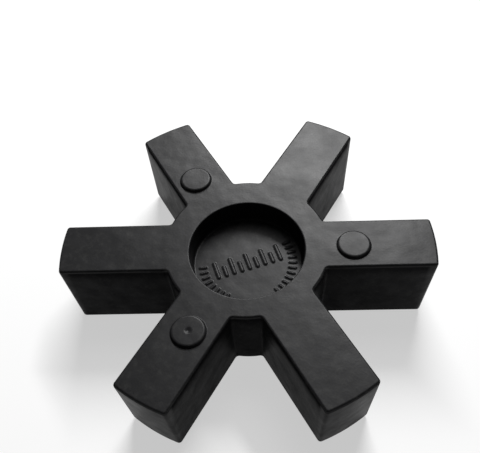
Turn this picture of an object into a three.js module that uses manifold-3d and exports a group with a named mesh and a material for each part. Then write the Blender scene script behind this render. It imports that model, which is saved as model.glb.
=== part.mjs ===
// Jaw coupling spider: one moulded rubber star that sits between the jaws of two coupling hubs.
// Straight legs fill the gaps between the jaws, a round hub joins the legs, and a blind round recess
// in each face lightens it. Small raised dots, on every other leg of each face, keep the faces off
// the metal. The mould's draft makes the lower face a little smaller than the upper one. Millimetres,
// +Z along the coupling's axis, one leg along +X. The origin is on the axis, on the plane of the
// lower dots.
import * as THREE from "three";
import { mergeVertices } from "three/addons/utils/BufferGeometryUtils.js";
import Module from "manifold-3d";

// Star
const outerDiameter = 95; // at the upper face
const legCount = 6;
const legWidth = 14.4;
const hubDiameter = 41.9; // at the upper face
const bodyHeight = 22; // face to face, without the dots
const tipDraft = 1.1; // a leg's end leans in by this much from the upper to the lower face
const hubDraft = 0.5; // and the hub's wall by this much
const tipRadius = 0.9; // upright corners at a leg's end
const rootRadius = 1; // upright inside corners where a leg meets the hub
const edgeInset = 0.55; // rounding along the outline of both faces, measured in from the outline
const edgeDrop = 0.8; // and down from the face

// Recess, one in each face
const recessDiameter = 29.2;
const recessDepth = 6.3;
const recessDraft = 0.4; // the wall leans in by this much from rim to floor
const recessRimRadius = 0.3;
const recessFloorRadius = 0.5;
const upperRecessShift = { x: 0.1, y: -1 }; // the mould's core sits a little off the axis there

// Dots
const dotDiameter = 8.4;
const dotHeight = 0.8;
const dotEdgeRadius = 0.6;
const dotFromHub = 6.05; // from the hub's outline to a dot's centre

// The upper dots are not quite where the pattern puts them: out is millimetres further from the axis,
// and aside is a share of the room that the leg leaves beside a dot, positive anticlockwise.
const upperDotShifts = [
  { out: -0.1, aside: -0.3 },
  { out: -1, aside: 0.44 },
  { out: 0.75, aside: 0.25 },
];
const noShift = { out: 0, aside: 0 };

// Smoothness
const arcSegments = 2; // an arc has twice as many chords
const edgeSegments = 3;
const recessSides = 48;
const dotSides = 24;

const outerRadius = outerDiameter / 2;
const hubRadius = hubDiameter / 2;
const legHalf = legWidth / 2;
const faceHeight = bodyHeight / 2; // from the middle plane to a face
const wallHalf = faceHeight - edgeDrop; // from the middle plane to where the rounding starts
const pitch = (2 * Math.PI) / legCount;

const wasm = await Module();
wasm.setup();

// A closed geometry as a solid that can be joined and cut.
function solidOf(geometry) {
  geometry.deleteAttribute("normal");
  geometry.deleteAttribute("uv");
  const merged = mergeVertices(geometry);
  const corners = merged.index.array;
  const triangles = [];
  for (let i = 0; i < corners.length; i += 3) {
    const [a, b, c] = corners.slice(i, i + 3);
    if (a !== b && b !== c && c !== a) triangles.push(a, b, c);
  }
  const vertProperties = merged.attributes.position.array;
  const triVerts = new Uint32Array(triangles);
  return new wasm.Manifold(new wasm.Mesh({ numProp: 3, vertProperties, triVerts }));
}

function geometryOf(solid) {
  const { vertProperties, triVerts } = solid.getMesh();
  const geometry = new THREE.BufferGeometry();
  geometry.setAttribute("position", new THREE.BufferAttribute(vertProperties, 3));
  geometry.setIndex(new THREE.BufferAttribute(triVerts, 1));
  geometry.computeVertexNormals();
  return geometry;
}

// The point of a circle about the axis that lies y to the side of a leg's centreline.
function onCircle(radius, y) {
  return new THREE.Vector2(Math.sqrt(radius ** 2 - y ** 2), y);
}

// The star's outline, anticlockwise. Every corner arc touches the leg's straight side, and either the
// outer circle or the hub circle.
function starOutline() {
  const tip = onCircle(outerRadius - tipRadius, legHalf - tipRadius);
  const root = onCircle(hubRadius + rootRadius, legHalf + rootRadius);
  const tipAngle = tip.angle();
  const rootAngle = root.angle();
  const outline = new THREE.Shape();
  for (let leg = 0; leg < legCount; leg++) {
    const turn = leg * pitch;
    const arc = (x, y, radius, from, to, clockwise) => {
      const centre = new THREE.Vector2(x, y).rotateAround(new THREE.Vector2(), turn);
      outline.absarc(centre.x, centre.y, radius, from + turn, to + turn, clockwise);
    };
    arc(root.x, -root.y, rootRadius, Math.PI - rootAngle, Math.PI / 2, true);
    arc(tip.x, -tip.y, tipRadius, -Math.PI / 2, -tipAngle, false);
    arc(0, 0, outerRadius, -tipAngle, tipAngle, false);
    arc(tip.x, tip.y, tipRadius, tipAngle, Math.PI / 2, false);
    arc(root.x, root.y, rootRadius, -Math.PI / 2, rootAngle - Math.PI, true);
    arc(0, 0, hubRadius, rootAngle, pitch - rootAngle, false);
  }
  return outline;
}

// Leans the legs' ends and the hub's wall in, the more the deeper. On a leg a point moves along the
// leg, so the legs' sides stay parallel. Beside a leg its way turns towards the axis, so the hub's wall
// stays round.
function lean(geometry) {
  const { clamp, inverseLerp, lerp } = THREE.MathUtils;
  const { position } = geometry.attributes;
  for (let i = 0; i < position.count; i++) {
    const point = new THREE.Vector2(position.getX(i), position.getY(i));
    const radius = point.length();
    const leg = Math.round(point.angle() / pitch) * pitch;
    const turn = point.angle() - leg;
    const gapMiddle = radius * Math.sin(pitch / 2);
    const beside = clamp(inverseLerp(legHalf, gapMiddle, radius * Math.sin(Math.abs(turn))), 0, 1);
    const outward = clamp(inverseLerp(hubRadius, outerRadius, radius), 0, 1);
    const drop = clamp(inverseLerp(wallHalf, -wallHalf, position.getZ(i)), 0, 1);
    const move = new THREE.Vector2(drop * lerp(hubDraft, tipDraft, outward), 0);
    point.sub(move.rotateAround(new THREE.Vector2(), leg + beside * turn));
    position.setXY(i, point.x, point.y);
  }
  return geometry;
}

// The star without recesses and dots, half of it above the middle plane.
function star() {
  const geometry = new THREE.ExtrudeGeometry(starOutline(), {
    depth: 2 * wallHalf,
    curveSegments: arcSegments,
    bevelThickness: edgeDrop,
    bevelSize: edgeInset,
    bevelOffset: -edgeInset,
    bevelSegments: edgeSegments,
  });
  return lean(geometry.translate(0, 0, -wallHalf));
}

// A round piece about the Z axis, from a profile of radius and height.
function turned(profile, sides) {
  return new THREE.LatheGeometry(profile.getPoints(arcSegments), sides).rotateX(Math.PI / 2);
}

// What the upper recess takes away: a drafted cup with a round floor corner, flared at its rim and
// carried on above the face.
function recessCutter() {
  const rim = recessDiameter / 2;
  const floor = faceHeight - recessDepth;
  const flat = rim - recessDraft - recessFloorRadius;
  const mouth = rim + recessRimRadius;
  const profile = new THREE.Path();
  profile.moveTo(0, floor);
  profile.lineTo(flat, floor);
  profile.absarc(flat, floor + recessFloorRadius, recessFloorRadius, -Math.PI / 2, 0, false);
  profile.absarc(mouth, faceHeight - recessRimRadius, recessRimRadius, Math.PI, Math.PI / 2, true);
  profile.lineTo(mouth, faceHeight + recessDepth);
  profile.lineTo(0, faceHeight + recessDepth);
  return turned(profile, recessSides);
}

// One dot of the upper face, on the axis. It starts half its height below the face, inside the leg.
function dot() {
  const radius = dotDiameter / 2;
  const top = faceHeight + dotHeight;
  const profile = new THREE.Path();
  profile.moveTo(0, faceHeight - dotHeight / 2);
  profile.lineTo(radius, faceHeight - dotHeight / 2);
  profile.absarc(radius - dotEdgeRadius, top - dotEdgeRadius, dotEdgeRadius, 0, Math.PI / 2, false);
  profile.lineTo(0, top);
  return turned(profile, dotSides);
}

// A dot on its leg: even legs carry theirs on the upper face, odd legs on the lower face.
function dotOnLeg(leg) {
  const upper = leg % 2 === 0;
  const shift = upper ? upperDotShifts[(leg / 2) % upperDotShifts.length] : noShift;
  const room = legHalf - edgeInset - dotDiameter / 2;
  const geometry = upper ? dot() : dot().rotateX(Math.PI);
  return geometry.translate(hubRadius + dotFromHub + shift.out, shift.aside * room, 0).rotateZ(leg * pitch);
}

let body = solidOf(star());
for (let leg = 0; leg < legCount; leg++) body = body.add(solidOf(dotOnLeg(leg)));
body = body.subtract(solidOf(recessCutter().translate(upperRecessShift.x, upperRecessShift.y, 0)));
body = body.subtract(solidOf(recessCutter().rotateX(Math.PI)));

const rubber = new THREE.MeshStandardMaterial({
  color: 0x2c2c2e,
  roughness: 0.55,
  metalness: 0,
  flatShading: true,
});
const spider = new THREE.Mesh(geometryOf(body), rubber);
spider.name = "spider";
spider.position.z = faceHeight + dotHeight;

const group = new THREE.Group();
group.add(spider);

export default group;
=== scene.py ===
import math

import bpy
import numpy as np
from mathutils import Matrix, Vector
from mathutils.geometry import delaunay_2d_cdt


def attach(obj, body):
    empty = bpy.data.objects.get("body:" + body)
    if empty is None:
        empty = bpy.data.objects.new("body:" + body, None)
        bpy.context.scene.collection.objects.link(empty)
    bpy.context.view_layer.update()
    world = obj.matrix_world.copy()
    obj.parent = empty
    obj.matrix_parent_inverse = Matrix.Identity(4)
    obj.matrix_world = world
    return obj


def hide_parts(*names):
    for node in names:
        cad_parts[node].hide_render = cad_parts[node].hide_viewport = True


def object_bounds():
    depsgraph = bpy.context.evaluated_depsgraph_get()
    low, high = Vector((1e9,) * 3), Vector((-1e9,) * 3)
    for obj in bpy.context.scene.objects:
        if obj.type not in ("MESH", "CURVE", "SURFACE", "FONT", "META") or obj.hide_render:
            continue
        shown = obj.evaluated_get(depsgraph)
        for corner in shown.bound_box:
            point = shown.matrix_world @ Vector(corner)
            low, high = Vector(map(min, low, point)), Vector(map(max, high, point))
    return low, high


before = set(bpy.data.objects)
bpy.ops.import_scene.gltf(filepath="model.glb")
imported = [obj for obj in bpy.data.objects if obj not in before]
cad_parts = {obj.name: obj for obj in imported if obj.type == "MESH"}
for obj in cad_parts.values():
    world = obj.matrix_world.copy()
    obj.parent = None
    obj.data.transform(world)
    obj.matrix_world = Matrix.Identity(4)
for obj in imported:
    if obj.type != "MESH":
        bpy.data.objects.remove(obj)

cad_low, cad_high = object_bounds()

# Camera: a short lens held above the front of the part, a little to the right of it and tipped a few
# degrees. The frame is cut so that the lens axis isn't its middle, which the shift gives.
CAMERA_FROM_FACE = 0.16287
CAMERA_AZIMUTH = math.radians(3.95)
CAMERA_ELEVATION = math.radians(54.46)
CAMERA_ROLL = math.radians(-4.46)
UPPER_FACE = 0.0228

camera_data = bpy.data.cameras.new("photo_camera")
camera_data.sensor_width = 36
camera_data.lens = 48.38
camera_data.shift_x = -0.0136
camera_data.shift_y = 0.0385
camera_data.clip_start = 0.01
camera = bpy.data.objects.new("photo_camera", camera_data)
camera.matrix_world = (
    Matrix.Translation((0, 0, UPPER_FACE))
    @ Matrix.Rotation(CAMERA_AZIMUTH, 4, "Z")
    @ Matrix.Rotation(math.pi / 2 - CAMERA_ELEVATION, 4, "X")
    @ Matrix.Translation((0, 0, CAMERA_FROM_FACE))
    @ Matrix.Rotation(CAMERA_ROLL, 4, "Z")
)
bpy.context.scene.collection.objects.link(camera)
bpy.context.scene.camera = camera
bpy.context.scene.view_settings.view_transform = "Standard"


# Star: the spider is one piece of black nitrile rubber, compression moulded in a two-part steel mould.
# The mould's draft leans the legs' tips and the hub in towards the lower face. The recesses and the
# dots, in the next two sections, are the same moulding and the same mesh. Sizes are in millimetres.
MM = 0.001
LEGS = 6
PITCH = 2 * math.pi / LEGS
LEG_HALF = 7.2
HUB_RADIUS = 20.95
OUTER_RADIUS = cad_high.x / MM
FACE = 11  # from the middle plane to a face
MIDDLE = cad_high.z / MM / 2
TIP_DRAFT = 1.1
HUB_DRAFT = 0.5
TIP_RADIUS = 0.9  # upright corners at a leg's tip
ROOT_RADIUS = 1.0  # upright inside corners at the hub
EDGE_INSET = 0.55  # rounding along both faces, in from the outline
EDGE_DROP = 0.8  # and down from the face
FLAT_BAND = 0.12  # keeps the smooth shading of a round off the flat beside it
CORNER_POINTS = 6
SIDE_POINTS = 32
TIP_POINTS = 24
HUB_POINTS = 12
WALL_STEPS = 17
FACE_SPACING = 0.9
EDGE_GAP = 0.6  # the least way from an edge to a point of a filled face, as a share of the spacing

points = []
faces = []


def plan_arc(centre, radius, start, end, count):
    """An arc seen from above, as x + yi, with the way out of the rubber at each point.

    A round corner runs anticlockwise and a hollow one clockwise.
    """
    spokes = np.exp(1j * np.linspace(start, end, count, endpoint=False))
    return centre + radius * spokes, spokes * np.sign(end - start)


def plan_line(start, end, count):
    """A straight side, with the way out of the rubber on its right."""
    line = start + (end - start) * np.arange(count) / count
    return line, np.full(count, -1j * (end - start) / abs(end - start))


def star_outline(lean):
    """The star's outline where the draft has leant it in by this share, 0 above and 1 below."""
    outer = OUTER_RADIUS - TIP_DRAFT * lean
    hub = HUB_RADIUS - HUB_DRAFT * lean
    tip_side = LEG_HALF - TIP_RADIUS
    root_side = LEG_HALF + ROOT_RADIUS
    tip = complex(math.sqrt((outer - TIP_RADIUS) ** 2 - tip_side ** 2), tip_side)
    root = complex(math.sqrt((hub + ROOT_RADIUS) ** 2 - root_side ** 2), root_side)
    tip_angle = np.angle(tip)
    root_angle = np.angle(root)
    right = math.pi / 2
    side = 1j * LEG_HALF
    parts = [
        plan_arc(root.conjugate(), ROOT_RADIUS, math.pi - root_angle, right, CORNER_POINTS),
        plan_line(root.real - side, tip.real - side, SIDE_POINTS),
        plan_arc(tip.conjugate(), TIP_RADIUS, -right, -tip_angle, CORNER_POINTS),
        plan_arc(0, outer, -tip_angle, tip_angle, TIP_POINTS),
        plan_arc(tip, TIP_RADIUS, tip_angle, right, CORNER_POINTS),
        plan_line(tip.real + side, root.real + side, SIDE_POINTS),
        plan_arc(root, ROOT_RADIUS, -right, root_angle - math.pi, CORNER_POINTS),
        plan_arc(0, hub, root_angle, PITCH - root_angle, HUB_POINTS),
    ]
    leg = np.hstack([np.vstack(part) for part in parts])
    return np.hstack([leg * np.exp(1j * PITCH * k) for k in range(LEGS)])


def ring(plan, height):
    """Adds one closed line of points at a height and gives their numbers."""
    first = len(points)
    points.extend((p.real, p.imag, height) for p in plan)
    return list(range(first, len(points)))


def skin(rings, flip=False):
    """Covers the way from each ring to the next with four-sided faces."""
    for low, high in zip(rings, rings[1:]):
        for a, b, c, d in zip(low, low[1:] + low[:1], high[1:] + high[:1], high):
            faces.append((d, c, b, a) if flip else (a, b, c, d))


def inside_lines(spots, lines):
    """For each spot, whether it lies inside the closed lines, and how far off the nearest one is."""
    inside = np.zeros(len(spots), bool)
    nearest = np.full(len(spots), np.inf)
    for line in lines:
        for a, b in zip(line, np.roll(line, -1)):
            between = (a.imag > spots.imag) != (b.imag > spots.imag)
            with np.errstate(divide="ignore", invalid="ignore"):
                at = a.real + (spots.imag - a.imag) * (b.real - a.real) / (b.imag - a.imag)
            inside ^= between & (spots.real < at)
            along = np.clip(((spots - a) * np.conj(b - a)).real / abs(b - a) ** 2, 0, 1)
            nearest = np.minimum(nearest, abs(spots - a - along * (b - a)))
    return inside, nearest


def fill(rings, spacing, height, flip=False):
    """Closes a flat region with small triangles. The rings are its edges, and height gives each point's."""
    lines = [np.array([complex(*points[i][:2]) for i in r]) for r in rings]
    edge = np.concatenate(lines)
    reach = abs(edge - edge.mean()).max() + spacing
    columns = np.arange(-reach, reach, spacing)
    rows = np.arange(-reach, reach, spacing * math.sqrt(3) / 2)
    stagger = spacing / 2 * (np.arange(len(rows)) % 2)
    grid = (columns[None, :] + stagger[:, None] + 1j * rows[:, None]).ravel() + edge.mean()
    inside, nearest = inside_lines(grid, lines)
    grid = grid[inside & (nearest > EDGE_GAP * spacing)]
    spots = np.concatenate([edge, grid])
    numbers = [i for r in rings for i in r]
    numbers += range(len(points), len(points) + len(grid))
    points.extend((g.real, g.imag, z) for g, z in zip(grid, height(grid)))
    borders = []
    for r in rings:
        start = len(borders)
        borders += [(start + i, start + (i + 1) % len(r)) for i in range(len(r))]
    cut = delaunay_2d_cdt([Vector((s.real, s.imag)) for s in spots], borders, [], 0, 1e-6)
    origins = np.array([o[0] for o in cut[3]])
    triangles = origins[np.array(cut[2])]
    inside, _ = inside_lines(spots[triangles].mean(1), lines)
    for a, b, c in triangles[inside]:
        a, b, c = numbers[a], numbers[b], numbers[c]
        faces.append((c, b, a) if flip else (a, b, c))


def quarter(inset, rise, steps=5):
    """A quarter round from upright to level: how far it has gone in, and up."""
    turns = np.linspace(0, math.pi / 2, steps + 1)
    return [(inset * (1 - math.cos(t)), rise * math.sin(t)) for t in turns]


wall_half = FACE - EDGE_DROP
edge_round = quarter(EDGE_INSET, EDGE_DROP) + [(EDGE_INSET + FLAT_BAND, EDGE_DROP)]
plan, out = star_outline(1)
lower_edge = [ring(plan - inset * out, MIDDLE - wall_half - rise) for inset, rise in reversed(edge_round)]
walls = []
band_lean = FLAT_BAND / (2 * wall_half)
for lean in [1 - band_lean, *np.linspace(1, 0, WALL_STEPS + 1)[1:-1], band_lean]:
    plan, out = star_outline(lean)
    walls.append(ring(plan, MIDDLE + wall_half * (1 - 2 * lean)))
plan, out = star_outline(0)
upper_edge = [ring(plan - inset * out, MIDDLE + wall_half + rise) for inset, rise in edge_round]
skin(lower_edge + walls + upper_edge)

# Recess: a shallow round cup in the middle of each face, which saves rubber and clears the shaft ends.
# The core that formed the upper one sat a little off the axis. It left low raised marks on the floor: a
# row of plain bars, and short ticks along two stretches of the floor's edge.
RECESS_RADIUS = 14.6
RECESS_DEPTH = 6.3
RECESS_DRAFT = 0.4
RECESS_RIM_RADIUS = 0.3
RECESS_FLOOR_RADIUS = 0.5
RECESS_POINTS = 180
RECESS_WALL_STEPS = (0.25, 0.5, 0.75)
UPPER_RECESS_CENTRE = 0.1 - 1j
MARKED_SPACING = 0.22  # fine enough for the marks
PLAIN_SPACING = 1.0
MARK_HEIGHT = 0.35
MARK_FLANK = 0.22
BARS = range(-4, 5)
BAR_WIDTH = 0.6
BAR_PITCH = 2.1
BAR_LENGTHS = (4.4, 2.6)  # long and short in turn
BAR_ROW = np.exp(1j * math.radians(18.6))  # the way along the row
BAR_ROW_MIDDLE = -0.86j
TICK_WIDTH = 0.35
TICK_ENDS = (10.9, 12.4)  # from the recess's centre
TICK_TURN = 8  # degrees from tick to tick
TICK_STRETCHES = ((-172, -116), (-50, 30))


def circle(centre, radius, count):
    return centre + radius * np.exp(2j * math.pi * np.arange(count) / count)


def raised(spots, start, end, width):
    """How far up its flank each spot is on a straight mark, from 0 on the floor to 1 on its top."""
    along = np.clip(((spots - start) * np.conj(end - start)).real / abs(end - start) ** 2, 0, 1)
    beside = abs(spots - start - along * (end - start)) - width / 2
    return np.clip(1 - beside / MARK_FLANK, 0, 1)


def marks(spots):
    """How high the bars and ticks stand above the floor of the upper recess."""
    rise = np.zeros(len(spots))
    for k in BARS:
        length = BAR_LENGTHS[k % 2]
        foot = BAR_ROW_MIDDLE + (k * BAR_PITCH - 1j * BAR_LENGTHS[0] / 2) * BAR_ROW
        rise = np.maximum(rise, raised(spots, foot, foot + 1j * length * BAR_ROW, BAR_WIDTH))
    for first, last in TICK_STRETCHES:
        for turn in np.radians(np.arange(first, last + 1, TICK_TURN)):
            inner, outer = (UPPER_RECESS_CENTRE + radius * np.exp(1j * turn) for radius in TICK_ENDS)
            rise = np.maximum(rise, raised(spots, inner, outer, TICK_WIDTH))
    return rise * MARK_HEIGHT


def bare(spots):
    return np.zeros(len(spots))


def recess(up, centre, relief, spacing):
    """The recess of the upper face (up is 1) or of the lower one (up is -1). Gives its rim."""
    bottom = FACE - RECESS_DEPTH
    wall_depth = RECESS_DEPTH - RECESS_RIM_RADIUS - RECESS_FLOOR_RADIUS
    profile = [(RECESS_RADIUS + RECESS_RIM_RADIUS + FLAT_BAND, FACE)]
    profile += [
        (RECESS_RADIUS + RECESS_RIM_RADIUS - rise, FACE - inset)
        for inset, rise in quarter(RECESS_RIM_RADIUS, RECESS_RIM_RADIUS)
    ]
    profile += [
        (RECESS_RADIUS - RECESS_DRAFT * t, FACE - RECESS_RIM_RADIUS - t * wall_depth)
        for t in RECESS_WALL_STEPS
    ]
    profile += [
        (RECESS_RADIUS - RECESS_DRAFT - inset, bottom + RECESS_FLOOR_RADIUS - rise)
        for inset, rise in quarter(RECESS_FLOOR_RADIUS, RECESS_FLOOR_RADIUS)
    ]
    rings = [ring(circle(centre, radius, RECESS_POINTS), MIDDLE + up * z) for radius, z in profile]
    skin(rings, flip=up < 0)
    fill([rings[-1]], spacing, lambda spots: MIDDLE + up * (bottom + relief(spots)), flip=up < 0)
    return rings[0]


# Dots: low round pads that stand proud of the faces, on every other leg of each face, so that the
# coupling's hubs bear on them and not on the whole face. The upper three sit a little off the legs'
# centrelines: further out by so many millimetres, and aside by a share of the room beside a dot.
DOT_RADIUS = 4.2
DOT_HEIGHT = 0.8
DOT_EDGE_RADIUS = 0.6
DOT_FOOT_RADIUS = 0.2
DOT_FROM_HUB = 6.05
DOT_ROOM = LEG_HALF - EDGE_INSET - DOT_RADIUS
DOT_POINTS = 72
DOT_SPACING = 0.4
UPPER_DOTS = {0: (-0.1, -0.3), 2: (-1.0, 0.44), 4: (0.75, 0.25)}
LOWER_DOTS = {1: (0, 0), 3: (0, 0), 5: (0, 0)}
PITTED_DOT = 4
PIT_RADIUS = 0.75
PIT_DEPTH = 0.35


def dot(up, leg, further, aside):
    """One dot. Gives the ring where its foot meets the face."""
    centre = (HUB_RADIUS + DOT_FROM_HUB + further + 1j * aside * DOT_ROOM) * np.exp(1j * PITCH * leg)
    profile = [(DOT_RADIUS + DOT_FOOT_RADIUS + FLAT_BAND, FACE)]
    profile += [
        (DOT_RADIUS + DOT_FOOT_RADIUS - rise, FACE + inset)
        for inset, rise in quarter(DOT_FOOT_RADIUS, DOT_FOOT_RADIUS, steps=3)
    ]
    profile += [
        (DOT_RADIUS - inset, FACE + DOT_HEIGHT - DOT_EDGE_RADIUS + rise)
        for inset, rise in quarter(DOT_EDGE_RADIUS, DOT_EDGE_RADIUS)
    ]
    profile.append((DOT_RADIUS - DOT_EDGE_RADIUS - FLAT_BAND, FACE + DOT_HEIGHT))
    rings = [ring(circle(centre, radius, DOT_POINTS), MIDDLE + up * z) for radius, z in profile]
    skin(rings, flip=up < 0)

    def top(spots):
        pit = PIT_DEPTH * (leg == PITTED_DOT)
        hollow = np.clip(1 - (abs(spots - centre) / PIT_RADIUS) ** 2, 0, 1) * pit
        return MIDDLE + up * (FACE + DOT_HEIGHT - hollow)

    fill([rings[-1]], DOT_SPACING, top, flip=up < 0)
    return rings[0]


upper_holes = [recess(1, UPPER_RECESS_CENTRE, marks, MARKED_SPACING)]
upper_holes += [dot(1, leg, *shift) for leg, shift in UPPER_DOTS.items()]
lower_holes = [recess(-1, 0, bare, PLAIN_SPACING)]
lower_holes += [dot(-1, leg, *shift) for leg, shift in LOWER_DOTS.items()]
fill([upper_edge[-1], *upper_holes], FACE_SPACING, lambda spots: np.full(len(spots), MIDDLE + FACE))
fill(
    [lower_edge[0], *lower_holes], FACE_SPACING,
    lambda spots: np.full(len(spots), MIDDLE - FACE), flip=True,
)

mesh = bpy.data.meshes.new("moulded_spider")
mesh.from_pydata([[x * MM for x in p] for p in points], [], faces)
mesh.update()
mesh.shade_smooth()

spider = bpy.data.objects.new("moulded_spider", mesh)
bpy.context.scene.collection.objects.link(spider)
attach(spider, "root")
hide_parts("spider")


def linear(colour):
    """An sRGB hex colour as the linear colour that a shader takes."""
    channels = [int(colour[i:i + 2], 16) / 255 for i in (1, 3, 5)]
    return [c / 12.92 if c <= 0.04045 else ((c + 0.055) / 1.055) ** 2.4 for c in channels] + [1]


def add(tree, kind, sockets, **settings):
    """Adds a node. A socket's value is a number, a colour or another node's output."""
    node = tree.nodes.new(kind)
    for name, value in settings.items():
        setattr(node, name, value)
    for name, value in sockets.items():
        if isinstance(value, bpy.types.NodeSocket):
            tree.links.new(value, node.inputs[name])
        else:
            node.inputs[name].default_value = value
    return node


# Nitrile rubber, compression moulded, then tumbled to take the flash off: near black, with a satin
# sheen on the faces. The mould's fine grain kills the sheen at a low angle, so the walls look dull.
# Handling leaves it mottled, with thin pale dust. Pattern sizes are in millimetres.
RUBBER_BLACK = "#1e1e1f"
RUBBER_DUST = "#333332"
FACE_SHEEN = 0.114
LEG_WALL_SHEEN = 0.026
# painted shade: the walls' sheen is lower near the hub
HUB_WALL_SHADED_SHEEN = 0.014
# painted highlight: extra sheen on the walls at the tips
TIP_HIGHLIGHT_SHEEN = 0.035
TIP_ZONE = (45, 46)  # from the axis: where the painted highlight on the tips' walls sets in
EDGE_SHADE_ZONE = (5, 1)  # below the upper face: painted shade, the walls' sheen fades out towards their upper edges
FRONT_GAP_SHADE = (-22, -16)  # along Y: painted shade, the walls about the gap in front get less sheen
GAP_SHADE_SHARE = 0.4
FACE_TO_WALL = (0.29, 0.47)  # how far from square to the eye the face's sheen gives way to the wall's
FLOW_SIZE = 4
FLOW_SHARES = (0.6, 1.4)
PATCH_SIZE = 7
PATCH_ROUGHNESS = (0.34, 0.40)
DUST_SIZE = 1.6
DUST_MOST = 0.6
GRAIN_SIZE = 0.6  # the real grain is much finer than a pixel, so it is drawn coarser
GRAIN_DEPTH = 0.03
WAVE_SIZE = 9
WAVE_DEPTH = 0.25

rubber = bpy.data.materials.new("moulded_nitrile_rubber")
rubber.use_nodes = True
tree = rubber.node_tree
tree.nodes.clear()
place = add(tree, "ShaderNodeTexCoord", {}).outputs["Object"]
across = add(tree, "ShaderNodeSeparateXYZ", {"Vector": place}).outputs
flat = add(tree, "ShaderNodeVectorMath", {0: place, 1: (1, 1, 0)}, operation="MULTIPLY")
from_axis = add(tree, "ShaderNodeVectorMath", {0: flat.outputs["Vector"]}, operation="LENGTH")
# Painted shade: the walls' sheen fades from the tips in towards the hub, where the floor they mirror lies in
# the part's shadow.
hub_shaded_sheen = add(tree, "ShaderNodeMapRange", {
    "Value": from_axis.outputs["Value"], "From Min": HUB_RADIUS * MM, "From Max": TIP_ZONE[0] * MM,
    "To Min": HUB_WALL_SHADED_SHEEN, "To Max": LEG_WALL_SHEEN,
})
# Painted highlight: the walls at the legs' tips get extra sheen.
tip_highlight = add(tree, "ShaderNodeMapRange", {
    "Value": from_axis.outputs["Value"], "From Min": TIP_ZONE[0] * MM, "From Max": TIP_ZONE[1] * MM,
    "To Min": 0, "To Max": TIP_HIGHLIGHT_SHEEN,
})
# Painted shade: a darker band under the walls' upper edges.
edge_shaded_sheen = add(tree, "ShaderNodeMapRange", {
    "Value": across["Z"], "From Min": UPPER_FACE - EDGE_SHADE_ZONE[0] * MM,
    "From Max": UPPER_FACE - EDGE_SHADE_ZONE[1] * MM, "To Min": hub_shaded_sheen.outputs["Result"], "To Max": 0,
}, interpolation_type="SMOOTHSTEP")
# The walls' sheen with its painted shade and painted highlight.
painted_wall_sheen = add(tree, "ShaderNodeMath", {
    0: edge_shaded_sheen.outputs["Result"], 1: tip_highlight.outputs["Result"],
}, operation="ADD")
flow_noise = add(tree, "ShaderNodeTexNoise", {"Vector": place, "Scale": 1 / (FLOW_SIZE * MM), "Detail": 3})
flow = add(tree, "ShaderNodeMapRange", {
    "Value": flow_noise.outputs["Fac"], "From Min": 0.3, "From Max": 0.7,
    "To Min": FLOW_SHARES[0], "To Max": FLOW_SHARES[1],
})
flowed_sheen = add(tree, "ShaderNodeMath", {
    0: painted_wall_sheen.outputs["Value"], 1: flow.outputs["Result"],
}, operation="MULTIPLY")
# Painted shade: the walls that face each other across the gap in front get less sheen.
gap_shade = add(tree, "ShaderNodeMapRange", {
    "Value": across["Y"], "From Min": FRONT_GAP_SHADE[0] * MM, "From Max": FRONT_GAP_SHADE[1] * MM,
    "To Min": GAP_SHADE_SHARE, "To Max": 1,
})
wall_sheen = add(tree, "ShaderNodeMath", {
    0: flowed_sheen.outputs["Value"], 1: gap_shade.outputs["Result"],
}, operation="MULTIPLY")
facing = add(tree, "ShaderNodeLayerWeight", {"Blend": 0.5})
sheen = add(tree, "ShaderNodeMapRange", {
    "Value": facing.outputs["Facing"], "From Min": FACE_TO_WALL[0], "From Max": FACE_TO_WALL[1],
    "To Min": FACE_SHEEN, "To Max": wall_sheen.outputs["Value"],
})
patches = add(tree, "ShaderNodeTexNoise", {
    "Vector": place, "Scale": 1 / (PATCH_SIZE * MM), "Detail": 5, "Roughness": 0.62,
})
roughness = add(tree, "ShaderNodeMapRange", {
    "Value": patches.outputs["Fac"], "From Min": 0.35, "From Max": 0.65,
    "To Min": PATCH_ROUGHNESS[0], "To Max": PATCH_ROUGHNESS[1],
})
specks = add(tree, "ShaderNodeTexNoise", {
    "Vector": place, "Scale": 1 / (DUST_SIZE * MM), "Detail": 6, "Roughness": 0.7,
})
dust = add(tree, "ShaderNodeMapRange", {
    "Value": specks.outputs["Fac"], "From Min": 0.5, "From Max": 0.75, "To Min": 0, "To Max": DUST_MOST,
})
colour = add(tree, "ShaderNodeMixRGB", {
    "Fac": dust.outputs["Result"], "Color1": linear(RUBBER_BLACK), "Color2": linear(RUBBER_DUST),
})
grain_noise = add(tree, "ShaderNodeTexNoise", {"Vector": place, "Scale": 1 / (GRAIN_SIZE * MM), "Detail": 4})
grain = add(tree, "ShaderNodeBump", {
    "Height": grain_noise.outputs["Fac"], "Distance": GRAIN_DEPTH * MM, "Strength": 0.6,
})
wave_noise = add(tree, "ShaderNodeTexNoise", {"Vector": place, "Scale": 1 / (WAVE_SIZE * MM), "Detail": 2})
waves = add(tree, "ShaderNodeBump", {
    "Height": wave_noise.outputs["Fac"], "Distance": WAVE_DEPTH * MM, "Strength": 1.0,
    "Normal": grain.outputs["Normal"],
})
shader = add(tree, "ShaderNodeBsdfPrincipled", {
    "Base Color": colour.outputs["Color"],
    "Roughness": roughness.outputs["Result"],
    "Specular IOR Level": sheen.outputs["Result"],
    "Normal": waves.outputs["Normal"],
})
add(tree, "ShaderNodeOutputMaterial", {"Surface": shader.outputs["BSDF"]})
mesh.materials.append(rubber)


# Floor: plain matt white paper that the part lies on. The camera and reflections see a share of it as
# pure white, which gives the bleached ground of a product photograph. The rest keeps the shadow.
FLOOR_HALF = 2
FLOOR_WHITE = 0.55
PAPER_WHITE = "#f3f3f3"

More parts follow.
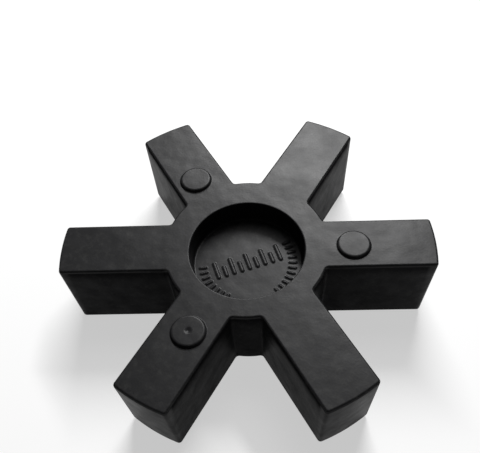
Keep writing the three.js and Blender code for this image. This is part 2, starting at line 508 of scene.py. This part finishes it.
floor_mesh = bpy.data.meshes.new("floor")
floor_corners = [(x * FLOOR_HALF, y * FLOOR_HALF, 0) for x, y in ((-1, -1), (1, -1), (1, 1), (-1, 1))]
floor_mesh.from_pydata(floor_corners, [], [(0, 1, 2, 3)])
floor = bpy.data.objects.new("floor", floor_mesh)
bpy.context.scene.collection.objects.link(floor)

paper = bpy.data.materials.new("matt_white_paper")
paper.use_nodes = True
tree = paper.node_tree
tree.nodes.clear()
matt = add(tree, "ShaderNodeBsdfDiffuse", {"Color": linear(PAPER_WHITE)})
white = add(tree, "ShaderNodeEmission", {"Strength": 1.0})
ray = add(tree, "ShaderNodeLightPath", {}).outputs
seen = add(tree, "ShaderNodeMath", {0: ray["Is Camera Ray"], 1: ray["Is Glossy Ray"]}, operation="ADD")
seen = add(tree, "ShaderNodeMath", {0: seen.outputs["Value"], 1: ray["Is Transmission Ray"]}, operation="ADD")
share = add(tree, "ShaderNodeMath", {0: seen.outputs["Value"], 1: FLOOR_WHITE}, operation="MULTIPLY")
mix = add(tree, "ShaderNodeMixShader", {
    "Fac": share.outputs["Value"], 1: matt.outputs["BSDF"], 2: white.outputs["Emission"],
})
add(tree, "ShaderNodeOutputMaterial", {"Surface": mix.outputs["Shader"]})
floor_mesh.materials.append(paper)


# Light: a long narrow soft box across the back, a small one higher above it, and dim surroundings.
# The upper faces mirror both boxes towards the camera, most brightly on the far right.
WORLD_LIGHT = 0.05

world = bpy.data.worlds.new("studio")
bpy.context.scene.world = world
world.use_nodes = True
background = world.node_tree.nodes["Background"].inputs
background["Color"].default_value = (1, 1, 1, 1)
background["Strength"].default_value = WORLD_LIGHT


def soft_box(name, azimuth, elevation, distance, width, height, roll, power):
    """An area lamp turned to the part. Azimuth 0 is behind it and 90 is to its right."""
    data = bpy.data.lights.new(name, "AREA")
    data.shape = "RECTANGLE"
    data.size = width
    data.size_y = height
    data.energy = power
    lamp = bpy.data.objects.new(name, data)
    a, e = math.radians(azimuth), math.radians(elevation)
    way = Vector((math.sin(a) * math.cos(e), math.cos(a) * math.cos(e), math.sin(e)))
    turn = way.to_track_quat("Z", "Y").to_matrix().to_4x4() @ Matrix.Rotation(math.radians(roll), 4, "Z")
    lamp.matrix_world = Matrix.Translation(way * distance) @ turn
    bpy.context.scene.collection.objects.link(lamp)


soft_box(
    "back_strip", azimuth=7.3, elevation=44.5, distance=0.595, width=0.05, height=0.366, roll=54, power=5.02,
)
soft_box("top_box", azimuth=12.9, elevation=62.4, distance=0.6, width=0.27, height=0.27, roll=0, power=0.67)
